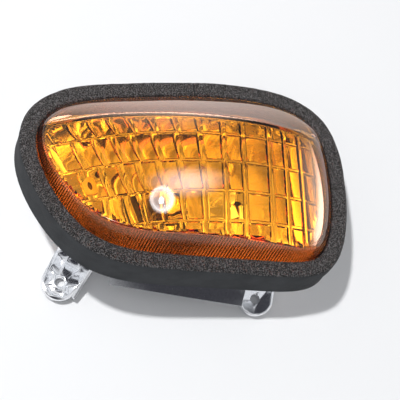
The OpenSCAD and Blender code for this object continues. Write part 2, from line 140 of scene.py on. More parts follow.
def ramp(nt, src, stops):
    """Colour ramp from (position, colour) stops."""
    r = nt.nodes.new("ShaderNodeValToRGB")
    e = r.color_ramp.elements
    while len(e) < len(stops):
        e.new(0.5)
    for el, (p, c) in zip(e, stops):
        el.position = p
        el.color = (*c, 1)
    nt.links.new(src, r.inputs["Fac"])
    return r


def bump(nt, bsdf, src, strength, distance):
    b = nt.nodes.new("ShaderNodeBump")
    b.inputs["Strength"].default_value = strength
    b.inputs["Distance"].default_value = distance
    nt.links.new(src, b.inputs["Height"])
    nt.links.new(b.outputs["Normal"], bsdf.inputs["Normal"])


def map_range(nt, src, lo, hi, to_lo, to_hi):
    m = nt.nodes.new("ShaderNodeMapRange")
    for k, v in (("From Min", lo), ("From Max", hi), ("To Min", to_lo), ("To Max", to_hi)):
        m.inputs[k].default_value = v
    nt.links.new(src, m.inputs["Value"])
    return m


def make_simple(name, color, rough, metallic=0.0, var=0.12, scale=300.0, bump_d=0.00005, coat=0.0):
    """Base material with uneven colour, uneven gloss and a fine surface."""
    m, nt, b = new_mat(name)
    n = noise_tex(nt, scale, 4)
    dark = [c * (1 - var) for c in color]
    light = [min(1, c * (1 + var)) for c in color]
    r = ramp(nt, n.outputs["Fac"], [(0.3, dark), (0.7, light)])
    nt.links.new(r.outputs["Color"], b.inputs["Base Color"])
    mr = map_range(nt, n.outputs["Fac"], 0.3, 0.7, max(0.02, rough - 0.06), rough + 0.08)
    nt.links.new(mr.outputs["Result"], b.inputs["Roughness"])
    b.inputs["Metallic"].default_value = metallic
    b.inputs["Coat Weight"].default_value = coat
    bump(nt, b, n.outputs["Fac"], 0.3, bump_d)
    return m


def make_chrome():
    """Vacuum-metallised plastic: bright, faintly wavy, with tiny specks."""
    m, nt, b = new_mat("metallised_plastic")
    wide = noise_tex(nt, 45, 2)
    fine = noise_tex(nt, 900, 3)
    stops = [(0.25, (0.72, 0.73, 0.75)), (0.5, (0.86, 0.87, 0.89)), (0.8, (0.9, 0.91, 0.93))]
    r = ramp(nt, fine.outputs["Fac"], stops)
    nt.links.new(r.outputs["Color"], b.inputs["Base Color"])
    b.inputs["Metallic"].default_value = 1.0
    mr = map_range(nt, wide.outputs["Fac"], 0.3, 0.75, 0.05, 0.12)
    nt.links.new(mr.outputs["Result"], b.inputs["Roughness"])
    bump(nt, b, wide.outputs["Fac"], 0.35, 0.0006)
    return m


def rgb_mix(nt, fac, a, b):
    """Colour a at factor 0 and b at 1; each is a socket or a colour."""
    n = nt.nodes.new("ShaderNodeMix")
    n.data_type = "RGBA"
    for sock, v in ((n.inputs["Factor"], fac), (n.inputs[6], a), (n.inputs[7], b)):
        if isinstance(v, tuple):
            sock.default_value = v
        else:
            nt.links.new(v, sock)
    return n.outputs[2]


def make_amber():
    """Clear amber moulding: colour comes from absorption inside the wall."""
    m, nt, b = new_mat("amber_lens")
    # Finish by point: x is the glossy slope and shoulder, y the duller lower wall
    finish = nt.nodes.new("ShaderNodeAttribute")
    finish.attribute_name = "finish"
    part = nt.nodes.new("ShaderNodeSeparateXYZ")
    nt.links.new(finish.outputs["Vector"], part.inputs["Vector"])
    coat = map_range(nt, part.outputs["X"], 0.0, 1.0, 0.0, SLOPE_COAT)
    nt.links.new(coat.outputs["Result"], b.inputs["Coat Weight"])
    tint = rgb_mix(nt, part.outputs["X"], WHITE, SLOPE_TINT)
    tint = rgb_mix(nt, part.outputs["Y"], tint, WALL_TINT)
    nt.links.new(tint, b.inputs["Specular Tint"])
    b.inputs["Coat Roughness"].default_value = 0.02
    b.inputs["Coat IOR"].default_value = COAT_IOR
    b.inputs["IOR"].default_value = AMBER_IOR
    b.inputs["Transmission Weight"].default_value = 1.0
    out = nt.nodes["Material Output"]
    vol = nt.nodes.new("ShaderNodeVolumeAbsorption")
    vol.inputs["Color"].default_value = AMBER_ABSORPTION
    vol.inputs["Density"].default_value = AMBER_DENSITY
    nt.links.new(vol.outputs["Volume"], out.inputs["Volume"])
    # Fine upright flutes on the skirt, kept off the face by the map's second coordinate
    uv = nt.nodes.new("ShaderNodeUVMap")
    uv.uv_map = "skirt"
    sep = nt.nodes.new("ShaderNodeSeparateXYZ")
    nt.links.new(uv.outputs["UV"], sep.inputs["Vector"])
    angle = math_node(nt, "MULTIPLY")
    angle.inputs[1].default_value = 2 * math.pi * FLUTES
    nt.links.new(sep.outputs["X"], angle.inputs[0])
    sine = math_node(nt, "SINE")
    nt.links.new(angle.outputs["Value"], sine.inputs[0])
    nt.links.new(rgb_mix(nt, sep.outputs["Y"], WHITE, SKIRT_TINT), b.inputs["Base Color"])
    dull = map_range(nt, sep.outputs["Y"], 0.0, 1.0, POLISHED, SKIRT_ROUGH)
    wall = map_range(nt, part.outputs["Y"], 0.0, 1.0, POLISHED, WALL_ROUGH)
    rough = math_node(nt, "MAXIMUM")
    nt.links.new(dull.outputs["Result"], rough.inputs[0])
    nt.links.new(wall.outputs["Result"], rough.inputs[1])
    nt.links.new(rough.outputs["Value"], b.inputs["Roughness"])
    mask = math_node(nt, "MULTIPLY")
    nt.links.new(sine.outputs["Value"], mask.inputs[0])
    nt.links.new(sep.outputs["Y"], mask.inputs[1])
    wave = noise_tex(nt, 60, 2)
    add = math_node(nt, "MULTIPLY_ADD")
    add.inputs[1].default_value = 0.12
    nt.links.new(wave.outputs["Fac"], add.inputs[0])
    nt.links.new(mask.outputs["Value"], add.inputs[2])
    bump(nt, b, add.outputs["Value"], 0.5, 0.0004)
    return m


def make_glass(name, rough=0.0, tint=(1, 1, 1)):
    m, nt, b = new_mat(name)
    b.inputs["Base Color"].default_value = (*tint, 1)
    b.inputs["Roughness"].default_value = rough
    b.inputs["IOR"].default_value = GLASS_IOR
    b.inputs["Transmission Weight"].default_value = 1.0
    n = noise_tex(nt, 70, 2)
    bump(nt, b, n.outputs["Fac"], 0.15, 0.0004)
    return m


def make_foam():
    """Charcoal cellular foam: open cells on the cut front, a finer skin on the sides."""
    m, nt, b = new_mat("foam")
    tc = nt.nodes.new("ShaderNodeTexCoord")
    cells = nt.nodes.new("ShaderNodeTexVoronoi")
    cells.inputs["Scale"].default_value = CELLS
    nt.links.new(tc.outputs["Object"], cells.inputs["Vector"])
    fine = noise_tex(nt, PORES, 3, 0.7)
    wide = noise_tex(nt, 90, 3)
    cut = nt.nodes.new("ShaderNodeAttribute")
    cut.attribute_name = "cut"
    # Charcoal foam with painted light and shade: cell walls are coloured lighter as if catching the light,
    # cell bottoms darker as painted shade
    stops = [(0.1, (0.006, 0.006, 0.006)), (0.42, (0.024, 0.024, 0.025)), (0.75, (0.15, 0.145, 0.147))]
    r = ramp(nt, cells.outputs["Distance"], stops)
    side = ramp(nt, wide.outputs["Fac"], [(0.3, (0.036, 0.038, 0.041)), (0.7, (0.052, 0.055, 0.059))])
    color = rgb_mix(nt, cut.outputs["Fac"], side.outputs["Color"], r.outputs["Color"])
    nt.links.new(color, b.inputs["Base Color"])
    b.inputs["Roughness"].default_value = 0.9
    b.inputs["Specular IOR Level"].default_value = 0.25
    h = math_node(nt, "MULTIPLY_ADD")
    nt.links.new(cells.outputs["Distance"], h.inputs[0])
    nt.links.new(cut.outputs["Fac"], h.inputs[1])
    pores = math_node(nt, "MULTIPLY")
    pores.inputs[1].default_value = 0.25
    nt.links.new(fine.outputs["Fac"], pores.inputs[0])
    nt.links.new(pores.outputs["Value"], h.inputs[2])
    bump(nt, b, h.outputs["Value"], 0.9, 0.0011)
    return m


M_CHROME = make_chrome()
M_AMBER = make_amber()
M_PAD = make_simple("pad_face", (1.0, 1.0, 0.8), 0.4, var=0.04, scale=150)
# Painted shade: dark brown colour for the inside of the pad's blind hole
M_BORE_SHADE = make_simple("pad_bore_shade", (0.1, 0.05, 0.02), 0.6)
M_FOAM = make_foam()
M_GLASS = make_glass("clear_glass")
M_STEM = make_glass("stem_glass", 0.05, (0.95, 0.98, 0.97))
M_BUTYL = make_simple("butyl", (0.02, 0.02, 0.02), 0.5, scale=500, bump_d=0.0002)
M_RUBBER = make_simple("black_rubber", (0.018, 0.018, 0.019), 0.55, scale=900, bump_d=0.0001)
M_NYLON = make_simple("holder_nylon", (0.035, 0.035, 0.038), 0.45, scale=1200, bump_d=0.00008)
M_TINNED = make_simple("tinned_steel", (0.72, 0.71, 0.68), 0.22, metallic=1.0, var=0.08, scale=500)
M_PHENOLIC = make_simple("phenolic", (0.25, 0.14, 0.06), 0.5, scale=700)
M_BRASS = make_simple("contact_brass", (0.78, 0.56, 0.25), 0.25, metallic=1.0, scale=260)
M_SOLDER = make_simple("solder", (0.55, 0.55, 0.57), 0.35, metallic=1.0, var=0.15, scale=900, bump_d=0.0002)
M_VITRITE = make_simple("base_glass", (0.012, 0.01, 0.012), 0.12, scale=400, coat=0.5)
M_TUNGSTEN = make_simple("tungsten", (0.3, 0.3, 0.32), 0.4, metallic=1.0, var=0.2, scale=2000)

BY_NODE = {
    "lens_sealant": M_BUTYL, "vent_cap": M_RUBBER, "holder_body": M_NYLON, "holder_seal": M_RUBBER,
    "socket_sleeve": M_TINNED, "contact_carrier": M_PHENOLIC, "contact_button": M_BRASS,
    "contact_spring": M_TINNED, "terminal_live": M_BRASS, "terminal_earth": M_BRASS, "bulb_base": M_BRASS,
    "base_pins": M_BRASS, "base_insulator": M_VITRITE, "base_contact": M_SOLDER, "support_wires": M_TINNED,
    "filament": M_TUNGSTEN, "housing": M_CHROME, "glass_stem": M_STEM, "bulb_glass": M_GLASS,
    "lens": M_AMBER, "foam_seal": M_FOAM,
}
for name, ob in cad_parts.items():
    for s in ob.material_slots:
        s.material = BY_NODE[name]
    if not ob.material_slots:
        ob.data.materials.append(BY_NODE[name])

# ---------------------------------------------------------------- lens
# Inset and wall of the lens, level of its foot, and level of the foam's front
IN_LENS, WALL, FOOT, FRONT = 10.0, 2.5, -2.0, 22.0
# How far the wall leans in: everywhere, more at the right end, and above the ridge
WALL_IN, RIGHT_IN, UPPER_IN = 2, 4, 18
SKIRT_RINGS, WALL_RINGS, CORNER_RINGS = 5, 8, 8
WALL_END = SKIRT_RINGS + WALL_RINGS - 1
CORNER_END = WALL_END + CORNER_RINGS
# Half widths of the strips between the optics, and heights of their beads: columns, rows
STRIP_C, STRIP_R = 1.7, 0.9
BEAD_C, BEAD_R = 0.42, 0.25
# Top of the domed face: level, middle, and flatness along x and y
CROWN, DOME_X, DOME_Y, FLAT_X, FLAT_Y = 45.0, -2.0, -20.0, 416.0, 900.0
# Ridge of the face from the left tip to the right shoulder: x, y
RIDGE = np.array([[-92, -84, -54, -4, 36, 70, 84, 95.0], [10, 13, 18.5, 24.5, 29, 31.5, 31, 28.0]])


def face_z(p, t):
    """Level of the domed face, t below its outside."""
    return CROWN - t - (p[:, 0] - DOME_X) ** 2 / FLAT_X - (p[:, 1] - DOME_Y) ** 2 / FLAT_Y


def smoothstep(a):
    u = np.clip(a, 0, 1)
    return u * u * (3 - 2 * u)


def blur(values, width):
    """Gaussian run round a closed ring; the width is in points."""
    k = np.arange(-3 * width, 3 * width + 1)
    g = np.exp(-0.5 * (k / width) ** 2)
    g /= g.sum()
    return sum(w * np.roll(values, -j, 0) for j, w in zip(k, g))


# Lines of the optics' net
COLS = np.array([-104, -93, -82, -71, -60, -49.7, -39.9, -31, -20.8, -9.9, 1.9, 14.2, 25.6, 42.2, 53,
                 63.4, 74.5, 86, 99.0])
ROWS = np.array([-61, -43, -25, -6.2, 11.7, 27, 46.0])


def row_shift(x):
    """Rows climb to the right and droop towards the left tip, in mm."""
    d = x + 3
    return 0.155 * d - np.where(d < 0, 0.0006, 0.0004) * d * d


def col_shift(x, y):
    """The left columns lean to the left, and each row's share of them bows, in mm."""
    left = np.clip((12 - x) / 45, 0, 1)
    j = np.clip(np.searchsorted(ROWS, y + 1e-6) - 1, 0, len(ROWS) - 2)
    mid, half = (ROWS[j + 1] + ROWS[j]) / 2, (ROWS[j + 1] - ROWS[j]) / 2
    v = (y - mid) / half
    edge = np.clip((1 - abs(v)) * half / STRIP_R, 0, 1)
    bow = left * edge * (-1.9 * v - 0.9 * (1 - v * v))
    return bow - 8 * np.clip((20 - x) / 60, 0, 1) * np.clip((y + 27) / 41, 0, 1.3) ** 1.3


def lens_mesh():
    """The lens as one closed skin: outside, foot, inside and the net of optics."""
    q, nrm = curve(32)
    n = len(q)
    slope = WALL_IN + RIGHT_IN * np.maximum(0, nrm[:, 0])
    crest = q - nrm * (IN_LENS + slope)[:, None]
    # The ridge runs across the upper part, and the wall above it slopes back
    line = np.interp(crest[:, 0], *RIDGE)
    up = blur(smoothstep((crest[:, 1] - line) / 3), 5)
    crest[:, 1] = np.minimum(crest[:, 1], line)
    crest = blur(crest, 4)
    slope = slope + UPPER_IN * up
    step = np.roll(crest, -1, 0) - np.roll(crest, 1, 0)
    step /= np.linalg.norm(step, axis=1)[:, None]
    out_n = np.stack([step[:, 1], -step[:, 0]], 1)

    def rings(t, land, wall):
        """Skirt, wall and corner of the skin t inside the outer one; the corner's rounding
        reaches land into the face and wall down the wall."""
        base = q - nrm * (IN_LENS + t)
        rid = crest - out_n * (t * (0.45 + 0.35 * up))[:, None]
        zr = face_z(rid, t)
        z0 = FRONT - t * 0.4
        out = []
        for z in np.linspace(FOOT, z0, SKIRT_RINGS):
            out.append(np.column_stack([base, np.full(n, z)]))
        w0 = np.column_stack([base, np.full(n, z0)])
        w1 = np.column_stack([rid, zr])
        length = np.linalg.norm(w1 - w0, axis=1)
        down = (w1 - w0) / length[:, None]
        radial = rid / np.linalg.norm(rid, axis=1)[:, None]

        def on_wall(k):
            return w1 - down * np.reshape(k, (-1, 1))

        def on_face(k):
            p = rid - radial * np.reshape(k, (-1, 1))
            return np.column_stack([p, face_z(p, t)])

        a, c = on_wall(wall), on_face(land)
        bulge = np.column_stack([radial * 0.45, np.full(n, 0.9)]) * (0.9 * up)[:, None]
        for u in np.linspace(0, 1, WALL_RINGS + 1)[1:]:
            out.append(w0 + (a - w0) * u + bulge * 4 * u * (1 - u))
        for u in np.linspace(0, 1, CORNER_RINGS + 1)[1:]:
            out.append(a * (1 - u) ** 2 + 2 * w1 * u * (1 - u) + c * u * u)
        return out

    # The right end turns down over a broad shoulder
    right = blur(smoothstep((nrm[:, 0] - 0.3) / 0.5), 6)
    outer = rings(0.0, 0.9 + 0.7 * up + 6.5 * right, 1.0 + 1.8 * right)
    c = outer[-1][:, :2]
    for s in np.linspace(1, 0, 22)[1:-1]:
        p = c * s
        outer.append(np.column_stack([p, face_z(p, 0)]))
    inner = rings(WALL, 0.5 + 0.4 * up + 5.0 * right, 0.6 + 0.8 * right)

    verts = []
    faces = []
    arc = np.concatenate([[0], np.cumsum(np.linalg.norm(np.roll(q, -1, 0) - q, axis=1))])
    arc = arc / arc[-1]

    def strip(ia, ib, flip):
        for i in range(n):
            j = (i + 1) % n
            f = (ia + i, ia + j, ib + j, ib + i)
            faces.append(f if not flip else f[::-1])

    start = []
    for r in outer:
        start.append(len(verts))
        verts.extend(r.tolist())
    for a, b in zip(start, start[1:]):
        strip(a, b, False)
    top = len(verts)
    verts.append([0, 0, float(face_z(np.zeros((1, 2)), 0)[0])])
    last = start[-1]
    for i in range(n):
        faces.append((last + i, last + (i + 1) % n, top))
    istart = []
    for r in inner:
        istart.append(len(verts))
        verts.extend(r.tolist())
    for a, b in zip(istart, istart[1:]):
        strip(a, b, True)
    strip(istart[0], start[0], False)

    # Inner face: a net of optics cut by the ring, creases along the rows and columns
    ring = inner[-1][:, :2]

    def stations(lines, half):
        """Points across a row of optics: close in the strips, then ten on each optic."""
        out = []
        for a, b in zip(lines, lines[1:]):
            u = np.sin(np.linspace(-0.5, 0.5, 10) * math.pi)
            out.append(a)
            out.extend(a + half * np.array([0.3, 0.6, 0.85]))
            out.extend((a + b) / 2 + u * ((b - a) / 2 - half))
            out.extend(b - half * np.array([0.85, 0.6, 0.3]))
        return np.array(out + [lines[-1]])

    xs = stations(COLS, STRIP_C)
    ys = stations(ROWS, STRIP_R)
    gx, gy = np.meshgrid(xs, ys, indexing="ij")
    px = gx + col_shift(gx, gy)
    py = gy + row_shift(gx)
    pts = np.stack([px, py], -1)
    closed = np.vstack([ring, ring[:1]])
    # Only the points at least 1 mm inside the ring are kept
    flat = pts.reshape(-1, 2)
    crossings = np.zeros(len(flat), int)
    gap = np.full(len(flat), 1e9)
    for (x1, y1), (x2, y2) in zip(closed, closed[1:]):
        cond = (y1 > flat[:, 1]) != (y2 > flat[:, 1])
        with np.errstate(divide="ignore", invalid="ignore"):
            xi = (x2 - x1) * (flat[:, 1] - y1) / (y2 - y1) + x1
        crossings += cond & (flat[:, 0] < xi)
    for k in range(0, n, 2):
        gap = np.minimum(gap, np.hypot(flat[:, 0] - ring[k, 0], flat[:, 1] - ring[k, 1]))
    inside = ((crossings % 2 == 1) & (gap > 1.0)).reshape(px.shape)
    index = -np.ones(px.shape, int)
    index[inside] = np.arange(inside.sum()) + n
    cdt_v = [Vector(p) for p in ring] + [Vector(p) for p in pts[inside]]
    edges = [(i, (i + 1) % n) for i in range(n)]
    for di, dj in ((1, 0), (0, 1)):
        a = index[: index.shape[0] - di, : index.shape[1] - dj]
        b = index[di:, dj:]
        ok = (a >= 0) & (b >= 0)
        edges.extend(zip(a[ok].tolist(), b[ok].tolist()))
    ov, _, of, orig, _, _ = geometry.delaunay_2d_cdt(cdt_v, edges, [list(range(n))], 1, 1e-6)
    grid_uv = np.stack([gx, gy], -1)[inside]
    ids = []
    for v, o in zip(ov, orig):
        k = o[0] if o else -1
        if 0 <= k < n:
            ids.append(istart[-1] + k)
            continue
        x, y = v.x, v.y
        if k >= n:
            cx, cy = grid_uv[k - n]
        else:
            cy = y - row_shift(x)
            cx = x - col_shift(x, cy)
        z = float(face_z(np.array([[x, y]]), WALL)[0]) - optic_height(cx, cy)
        ids.append(len(verts))
        verts.append([x, y, z])
    for f in of:
        faces.append(tuple(ids[i] for i in f)[::-1])
    verts = np.array(verts)
    ob = add_mesh("lens_moulding", to_row(verts), faces, "lamp", 16, ("lens",), M_AMBER)
    # Glossier slope and shoulder, duller lower wall
    finish = np.zeros((len(verts), 3))
    low_wall = smoothstep((-0.2 - nrm[:, 1]) / 0.2) * (1 - up)
    for k, s0 in enumerate(start[:CORNER_END]):
        finish[s0 : s0 + n, 0] = np.maximum(up * (k < CORNER_END - 2), right * (k > WALL_END))
        finish[s0 : s0 + n, 1] = low_wall
    at = ob.data.attributes.new("finish", "FLOAT_VECTOR", "POINT")
    at.data.foreach_set("vector", finish.astype(np.float32).ravel())
    # Map of the skirt: share of the way round, and how much of the flutes shows
    low = smoothstep((9 - slope) / 5)
    uv = ob.data.uv_layers.new(name="skirt")
    vi = np.empty(len(ob.data.loops), int)
    ob.data.loops.foreach_get("vertex_index", vi)
    u = np.zeros(len(verts))
    w = np.zeros(len(verts))
    for k, s0 in enumerate(istart[:-1]):
        u[s0 : s0 + n] = arc[:-1]
        w[s0 : s0 + n] = low if k >= SKIRT_RINGS else 1.0
    data = np.stack([u[vi], w[vi]], 1)
    # The last face of each ring runs from the end of the arc to its start
    poly = np.repeat(np.arange(len(ob.data.polygons)), [p.loop_total for p in ob.data.polygons])
    hi = np.zeros(len(ob.data.polygons))
    np.maximum.at(hi, poly, data[:, 0])
    wrap = (hi[poly] > 0.9) & (data[:, 0] < 0.1)
    data[wrap, 0] += 1.0
    uv.data.foreach_set("uv", data.astype(np.float32).ravel())


def optic_height(x, y):
    """Rise of the cushion optics below the inner face, in mm, with creases at the net's lines."""
    i = int(np.clip(np.searchsorted(COLS, x + 1e-6) - 1, 0, len(COLS) - 2))
    j = int(np.clip(np.searchsorted(ROWS, y + 1e-6) - 1, 0, len(ROWS) - 2))
    width, height = COLS[i + 1] - COLS[i], ROWS[j + 1] - ROWS[j]
    u = 2 * (x - COLS[i]) / width - 1
    v = 2 * (y - ROWS[j]) / height - 1
    # The block in front of the bulb's right side is almost plain, and one upper row is lower
    k = 0.15 if 10 <= i <= 11 and j == 1 else 0.6 if j == 4 else 1.0
    gap_x = (1 - abs(u)) * width / 2 / STRIP_C
    gap_y = (1 - abs(v)) * height / 2 / STRIP_R
    if gap_x < 1.001 or gap_y < 1.001:
        # Round bead along the crease
        return max(BEAD_C * max(0, 1 - gap_x**2), BEAD_R * max(0, 1 - gap_y**2))
    u = abs(u) / (1 - 2 * STRIP_C / width)
    v = abs(v) / (1 - 2 * STRIP_R / height)
    return k * (0.2 + 0.35 * (1 - u**2.2) + 0.3 * (1 - v**2.4))


lens_mesh()

# Arched pad behind the lens at the left, outline about its middle, in mm
PAD_AT = np.array([-60.1, -26.0])
PAD = np.array([[-0.3, 5.4], [2.0, 4.7], [3.4, 1.8], [4.3, -1.2], [5.2, -3.8], [4.8, -4.8], [-0.6, -5.9],
                [-1.6, -5.6], [-2.5, -3.0], [-3.3, 0.0], [-2.6, 3.7]])
PAD_STEPS = 64


def pad_mesh():
    """Moulded pad with a slanted blind hole."""
    edge = PAD
    for _ in range(3):
        after = np.roll(edge, -1, 0)
        edge = np.stack([0.75 * edge + 0.25 * after, 0.25 * edge + 0.75 * after], 1).reshape(-1, 2)
    bore, long_r, short_r = np.array([0.45, -0.55]), 2.45, 1.15
    lean = math.radians(-68)
    rel = edge - bore
    turn = np.arctan2(rel[:, 1], rel[:, 0])
    theta = np.linspace(-math.pi, math.pi, PAD_STEPS, endpoint=False)
    order = np.argsort(turn)
    rim = np.interp(theta, turn[order], np.linalg.norm(rel, axis=1)[order], period=2 * math.pi)
    hole = 1 / np.hypot(np.cos(theta - lean) / long_r, np.sin(theta - lean) / short_r)
    unit = np.column_stack([np.cos(theta), np.sin(theta)])
    # Depths behind the lens's inner face, and the eased edges of rim and hole
    top, floor_d, back_d = 1.0, 2.8, 3.2
    ease, ease_in = 0.3, 0.15
    rings = [(rim, back_d), (rim, top + ease), (rim - ease, top),
             (hole + ease_in, top), (hole, top + ease_in), (hole, floor_d)]
    verts, faces = [], []
    for radius, depth in rings:
        p = PAD_AT + bore + unit * radius[:, None]
        verts.extend(np.column_stack([p, face_z(p, WALL) - depth]).tolist())
    for a in range(0, (len(rings) - 1) * PAD_STEPS, PAD_STEPS):
        for i in range(PAD_STEPS):
            j = (i + 1) % PAD_STEPS
            faces.append((a + i, a + j, a + PAD_STEPS + j, a + PAD_STEPS + i))
    faces.append(tuple(range(PAD_STEPS))[::-1])
    faces.append(tuple(range(len(verts) - PAD_STEPS, len(verts))))
    ob = add_mesh("lens_pad", to_row(verts), faces, "lamp", 40, (), M_PAD)
    ob.data.materials.append(M_BORE_SHADE)
    # Painted shade: the hole's wall and floor are coloured darker for the shade inside the hole
    index = [0] * (4 * PAD_STEPS) + [1] * PAD_STEPS + [0, 1]
    ob.data.polygons.foreach_set("material_index", index)


pad_mesh()


# ---------------------------------------------------------------- foam
# Width of the strip, its rebate round the housing's lip (inset, level) and its eased corners
FOAM_W, LIP_D, LIP_Z, EASED = 9.7, 7.1, 5.3, 1.2
# Place and half width of the butt joint, and how far the strip is squeezed in at the tip
BUTT_X, BUTT_HALF, SQUEEZE = 2.2, 0.28, 1.2


def foam_mesh():
    """The foam strip as one closed run from one cut end to the other."""
    q, nrm = curve(48)
    n = len(q)
    # Section as (inset, level)
    prof = []

    def seg(a, b, k):
        for u in np.linspace(0, 1, k, endpoint=False):
            prof.append(np.array(a) * (1 - u) + np.array(b) * u)

    seg((EASED, 0), (0.4, 0.3), 2)
    seg((0.4, 0.3), (0, EASED), 2)
    seg((0, EASED), (0, FRONT - EASED), 16)
    seg((0, FRONT - EASED), (0.35, FRONT - 0.35), 3)
    seg((0.35, FRONT - 0.35), (EASED, FRONT), 3)
    seg((EASED, FRONT), (9.0, FRONT), 14)
    seg((9.0, FRONT), (FOAM_W, FRONT - 0.8), 3)
    seg((FOAM_W, FRONT - 0.8), (FOAM_W, LIP_Z), 6)
    seg((FOAM_W, LIP_Z), (LIP_D, LIP_Z), 3)
    seg((LIP_D, LIP_Z), (LIP_D, 0), 3)
    seg((LIP_D, 0), (EASED, 0), 6)
    prof = np.array(prof)
    m = len(prof)
    # Start and end at the butt joint in the upper run
    k0 = int(np.argmin(np.where(nrm[:, 1] > 0.5, abs(q[:, 0] - BUTT_X), 1e9)))
    q = np.roll(q, -k0, 0)
    nrm = np.roll(nrm, -k0, 0)
    q = np.vstack([q, q[:1]])
    nrm = np.vstack([nrm, nrm[:1]])
    tang = np.column_stack([-nrm[:, 1], nrm[:, 0]])
    verts = []
    cut = []
    for i in range(n + 1):
        for j, (d, z) in enumerate(prof):
            p2 = q[i] - nrm[i] * d
            # The two cut ends stand a little apart
            if i == 0:
                p2 = p2 + tang[i] * (BUTT_HALF + 0.12 * noise.noise(Vector((d * 0.8, z * 0.5, 3))))
            if i == n:
                p2 = p2 - tang[i] * (BUTT_HALF + 0.12 * noise.noise(Vector((d * 0.8, z * 0.5, 9))))
            p = np.array([p2[0], p2[1], z])
            broad = noise.noise(Vector((p[0] * 0.06, p[1] * 0.06, z * 0.1)))
            middle = noise.noise(Vector((p[0] * 0.35, p[1] * 0.35, z * 0.35)))
            small = noise.noise(Vector((p[0] * 1.1, p[1] * 1.1, z * 1.1)))
            if d < 2.0 and z > 1.5:
                # The hand-cut outer edge wanders a little
                p[:2] -= nrm[i] * max(-0.2, (broad * 0.7 + middle * 0.25) * 0.5 + 0.25)
            # The strip is squeezed in behind at the tip
            inward = min(1.0, max(0.0, 1 - (d - EASED) / (LIP_D - EASED)))
            p[:2] -= nrm[i] * (SQUEEZE * max(0.0, -nrm[i][0]) * (1 - z / FRONT) * inward)
            if z > FRONT - 0.6:
                p[2] -= 0.12 + 0.22 * abs(small)
            elif d < 0.5:
                p[:2] -= nrm[i] * 0.10 * abs(small)
            verts.append(p)
            cut.append(1.0 if (z > FRONT - 0.9 and d > 0.1) else 0.0)
    faces = []
    for i in range(n):
        a, b = i * m, (i + 1) * m
        for j in range(m):
            k = (j + 1) % m
            faces.append((a + j, b + j, b + k, a + k))
    faces.append(tuple(range(m)))
    faces.append(tuple(range(n * m + m - 1, n * m - 1, -1)))
    ob = add_mesh("foam_strip", to_row(verts), faces, "lamp", 50, ("foam_seal",), M_FOAM)
    at = ob.data.attributes.new("cut", "FLOAT", "POINT")
    at.data.foreach_set("value", np.array(cut, np.float32))
    bm = bmesh.new()
    bm.from_mesh(ob.data)
    bmesh.ops.recalc_face_normals(bm, faces=bm.faces)
    bm.to_mesh(ob.data)
    bm.free()


foam_mesh()


# ---------------------------------------------------------------- housing
def dressed_copy(node_name, new_name, body, material, angle, bevel):
    """The CAD shape with welded points, smooth curves and edges eased by a bevel in metres."""
    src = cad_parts[node_name]
    me = src.data.copy()
    me.name = new_name
    ob = bpy.data.objects.new(new_name, me)
    scene.collection.objects.link(ob)
    bm = bmesh.new()
    bm.from_mesh(me)
    bmesh.ops.remove_doubles(bm, verts=bm.verts, dist=2e-6)
    bmesh.ops.dissolve_limit(bm, angle_limit=math.radians(1.0), verts=bm.verts, edges=bm.edges)
    bm.to_mesh(me)
    bm.free()
    if "custom_normal" in me.attributes:
        me.attributes.remove(me.attributes["custom_normal"])
    me.shade_smooth()
    me.materials.clear()
    me.materials.append(material)
    bv = ob.modifiers.new("edges", "BEVEL")
    bv.width = bevel
    bv.segments = 2
    bv.limit_method = "ANGLE"
    bv.angle_limit = math.radians(angle)
    bv.harden_normals = False
    bv.use_clamp_overlap = True
    dg = bpy.context.evaluated_depsgraph_get()
    new = bpy.data.meshes.new_from_object(ob.evaluated_get(dg))
    ob.modifiers.clear()
    ob.data = new
    new.shade_smooth()
    new.set_sharp_from_angle(angle=math.radians(angle))
    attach(ob, body)
    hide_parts(node_name)


dressed_copy("housing", "housing_moulding", "lamp", M_CHROME, 28, 0.00025)


# ---------------------------------------------------------------- bulb glass
# Crown, radius, throat, top of the base and wall of the envelope, in mm
BULB_TOP, BULB_R, THROAT_R, BASE_TOP, GLASS_WALL = 72.1, 12.5, 6.6, 38.4, 0.8


def lathe(name, prof, axis_xy, body, material, replaces, segs=128):
    """A solid of revolution about an upright axis, from (radius, level) points in mm."""
    verts = []
    faces = []
    idx = []
    for r, z in prof:
        if r < 1e-6:
            idx.append([len(verts)] * segs)
            verts.append([axis_xy[0], axis_xy[1], z])
        else:
            idx.append(list(range(len(verts), len(verts) + segs)))
            for i in range(segs):
                a = 2 * math.pi * i / segs
                verts.append([axis_xy[0] + r * math.cos(a), axis_xy[1] + r * math.sin(a), z])
    for a, b in zip(idx, idx[1:]):
        for i in range(segs):
            j = (i + 1) % segs
            f = [a[i], a[j], b[j], b[i]]
            f = [v for k, v in enumerate(f) if v != f[k - 1]]
            if len(f) > 2:
                faces.append(tuple(f))
    add_mesh(name, np.array(verts) * MM, faces, body, 40, replaces, material)


def bulb_profile():
    """Outside and inside of the envelope, from its crown down into the base."""
    ball = BULB_TOP - BULB_R

    def bezier(u, a, b, c, d):
        return a * (1 - u) ** 3 + 3 * b * u * (1 - u) ** 2 + 3 * c * u * u * (1 - u) + d * u**3

    def skin(off):
        pts = []
        r = BULB_R - off
        for a in np.linspace(90, -32, 40):
            pts.append((r * math.cos(math.radians(a)), ball + r * math.sin(math.radians(a))))
        x0, z0 = pts[-1]
        x1, z1 = THROAT_R - off, BASE_TOP + 1.5
        # Eases from the ball into the throat
        for u in np.linspace(0, 1, 14)[1:]:
            pts.append((bezier(u, x0, x0 - 3.4, x1, x1), bezier(u, z0, z0 - 5.3, z1 + 4, z1)))
        pts.append((x1, 30.5))
        return pts

    outer = skin(0.0)
    inner = skin(GLASS_WALL)
    outer[0] = (0, outer[0][1])
    inner[0] = (0, inner[0][1])
    return outer + inner[::-1]


lathe("bulb_envelope", bulb_profile(), BULB_AT, "bulb_holder", M_GLASS, ("bulb_glass",))

